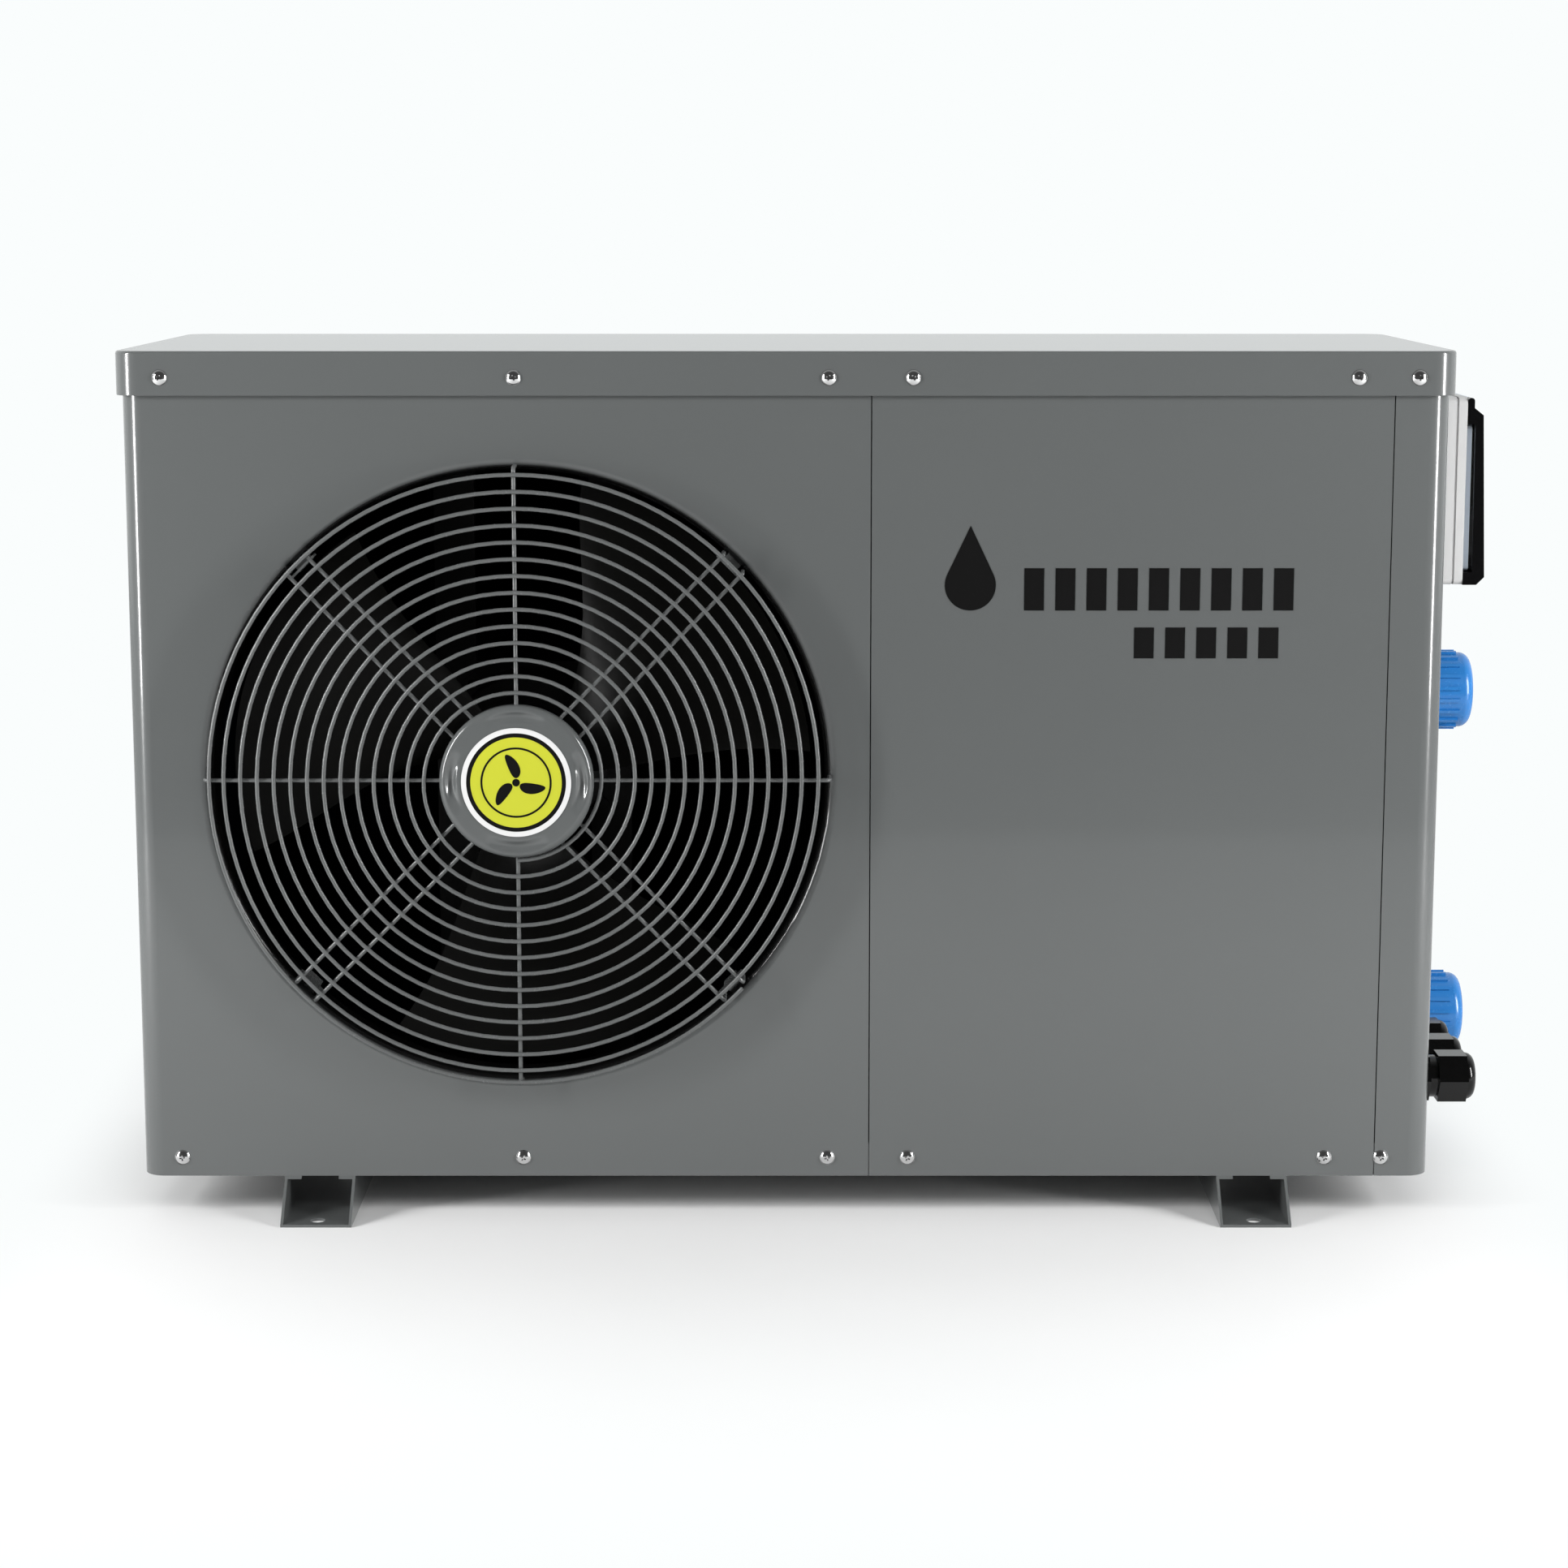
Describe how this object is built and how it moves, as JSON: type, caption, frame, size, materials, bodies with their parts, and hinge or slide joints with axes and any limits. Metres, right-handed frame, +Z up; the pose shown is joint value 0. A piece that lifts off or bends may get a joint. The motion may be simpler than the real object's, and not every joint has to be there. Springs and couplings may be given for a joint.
{
  "type": "pool heat pump unit",
  "caption": "Floor-standing pool heat pump with a front spiral-guarded axial fan, finned coil, side water unions, cable glands and a hinged-cover controller.",
  "frame": {"origin": "centre of the four foot bolt holes, at floor level", "axes": "+X to the right seen from the fan side, +Y to the back, +Z up"},
  "size_m": [1.0049, 0.378, 0.624],
  "materials": {
    "cabinet_grey": "satin powder coat, fine texture",
    "guard_grey": "gloss paint on wire",
    "cap_grey": "gloss paint",
    "label_yellow": "printed vinyl",
    "screw_zinc": "bright zinc",
    "fan_black": "moulded",
    "bright_steel": "turned",
    "motor_black": "black paint",
    "galvanised": "galvanised sheet",
    "fin_dark": "dark hydrophilic coating",
    "copper": "drawn copper tube",
    "valve_brass": "forged brass",
    "wire_black": "plastic dipped wire",
    "compressor_black": "gloss black enamel",
    "rubber_black": "moulded rubber",
    "shell_black": "PVC",
    "titanium": "drawn titanium tube",
    "pvc_white": "moulded PVC",
    "union_blue": "moulded ABS",
    "gland_black": "moulded nylon",
    "board_green": "solder mask",
    "electric_dark": "phenolic and aluminium can",
    "controller_white": "moulded ABS",
    "display_glass": "smoked window",
    "button_grey": "silicone keys",
    "cover_black": "moulded polycarbonate",
    "decal_black": "screen printed vinyl"
  },
  "bodies": {
    "cabinet": {"base_pan": "cabinet_grey", "left_foot": "cabinet_grey", "right_foot": "cabinet_grey", "front_fan_panel": "cabinet_grey", "front_service_panel": "cabinet_grey", "right_side_panel": "cabinet_grey", "rear_panel": "cabinet_grey", "rear_corner_post": "cabinet_grey", "top_lid": "cabinet_grey", "lid_screws": "screw_zinc", "panel_screws": "screw_zinc", "fan_guard_spiral": "guard_grey", "fan_guard_spokes": "guard_grey", "fan_guard_clips": "guard_grey", "fan_guard_cap": "cap_grey", "fan_guard_label": "label_yellow", "fan_motor": "motor_black", "fan_motor_bracket": "motor_black", "evaporator_end_plates": "galvanised", "partition_plate": "galvanised", "electric_tray": "galvanised", "evaporator_fins": "fin_dark", "evaporator_tubes": "copper", "refrigerant_pipes": "copper", "coil_guard": "wire_black", "compressor": "compressor_black", "accumulator": "compressor_black", "compressor_mounts": "rubber_black", "union_o_rings": "rubber_black", "gland_seals": "rubber_black", "drain_spigot": "rubber_black", "four_way_valve": "valve_brass", "expansion_valve": "valve_brass", "exchanger_shell": "shell_black", "flow_switch": "shell_black", "titanium_coil": "titanium", "union_bodies": "pvc_white", "gland_bodies": "gland_black", "circuit_board": "board_green", "electric_parts": "electric_dark", "controller_base": "controller_white", "controller_frame": "controller_white", "display_window": "display_glass", "front_decal": "decal_black"},
    "fan": {"fan_blades": "fan_black", "fan_shaft": "bright_steel", "fan_nut": "bright_steel"},
    "keypad_cover": {"controller_cover": "cover_black"},
    "lower_tail": {"lower_union_tail": "pvc_white"},
    "lower_nut": {"lower_union_nut": "union_blue"},
    "upper_tail": {"upper_union_tail": "pvc_white"},
    "upper_nut": {"upper_union_nut": "union_blue"},
    "gland_front": {"front_gland_nut": "gland_black"},
    "gland_middle": {"middle_gland_nut": "gland_black"},
    "gland_rear": {"rear_gland_nut": "gland_black"},
    "button_power": {"power_button": "button_grey"},
    "button_mode": {"mode_button": "button_grey"},
    "button_up": {"up_button": "button_grey"},
    "button_down": {"down_button": "button_grey"},
    "paddle": {"flow_paddle": "bright_steel"}
  },
  "joints": [
    {"name": "fan_spin", "type": "hinge", "parent": "cabinet", "child": "fan", "pos_m": [-0.19, -0.11, 0.323], "axis": [0, -1, 0], "continuous": true},
    {"name": "controller_cover_hinge", "type": "hinge", "parent": "cabinet", "child": "keypad_cover", "pos_m": [0.4891, -0.049, 0.5862], "axis": [0, -1, 0], "range_deg": [0, 150]},
    {"name": "lower_union_slide", "type": "slide", "parent": "cabinet", "child": "lower_tail", "axis": [1, 0, 0], "range_m": [0, 0.009]},
    {"name": "lower_union_turn", "type": "hinge", "parent": "lower_tail", "child": "lower_nut", "pos_m": [0.51, 0.091, 0.0956], "axis": [1, 0, 0], "range_deg": [0, 1080]},
    {"name": "upper_union_slide", "type": "slide", "parent": "cabinet", "child": "upper_tail", "axis": [1, 0, 0], "range_m": [0, 0.009]},
    {"name": "upper_union_turn", "type": "hinge", "parent": "upper_tail", "child": "upper_nut", "pos_m": [0.51, 0.091, 0.3512], "axis": [1, 0, 0], "range_deg": [0, 1080]},
    {"name": "front_gland_turn", "type": "hinge", "parent": "cabinet", "child": "gland_front", "pos_m": [0.494, -0.099, 0.0894], "axis": [1, 0, 0], "range_deg": [0, 720]},
    {"name": "middle_gland_turn", "type": "hinge", "parent": "cabinet", "child": "gland_middle", "pos_m": [0.494, -0.047, 0.0894], "axis": [1, 0, 0], "range_deg": [0, 720]},
    {"name": "rear_gland_turn", "type": "hinge", "parent": "cabinet", "child": "gland_rear", "pos_m": [0.494, 0.005, 0.0894], "axis": [1, 0, 0], "range_deg": [0, 720]},
    {"name": "power_press", "type": "slide", "parent": "cabinet", "child": "button_power", "axis": [-1, 0, 0], "range_m": [0, 0.0008], "stiffness_N_per_m": 400},
    {"name": "mode_press", "type": "slide", "parent": "cabinet", "child": "button_mode", "axis": [-1, 0, 0], "range_m": [0, 0.0008], "stiffness_N_per_m": 400},
    {"name": "up_press", "type": "slide", "parent": "cabinet", "child": "button_up", "axis": [-1, 0, 0], "range_m": [0, 0.0008], "stiffness_N_per_m": 400},
    {"name": "down_press", "type": "slide", "parent": "cabinet", "child": "button_down", "axis": [-1, 0, 0], "range_m": [0, 0.0008], "stiffness_N_per_m": 400},
    {"name": "flow_paddle_swing", "type": "hinge", "parent": "cabinet", "child": "paddle", "pos_m": [0.441, 0.091, 0.3822], "axis": [0, -1, 0], "range_deg": [0, 12]}
  ],
  "couplings": [
    {"joint": "lower_union_slide", "follows": "lower_union_turn", "m_per_rad": 0.00047746},
    {"joint": "upper_union_slide", "follows": "upper_union_turn", "m_per_rad": 0.00047746}
  ]
}
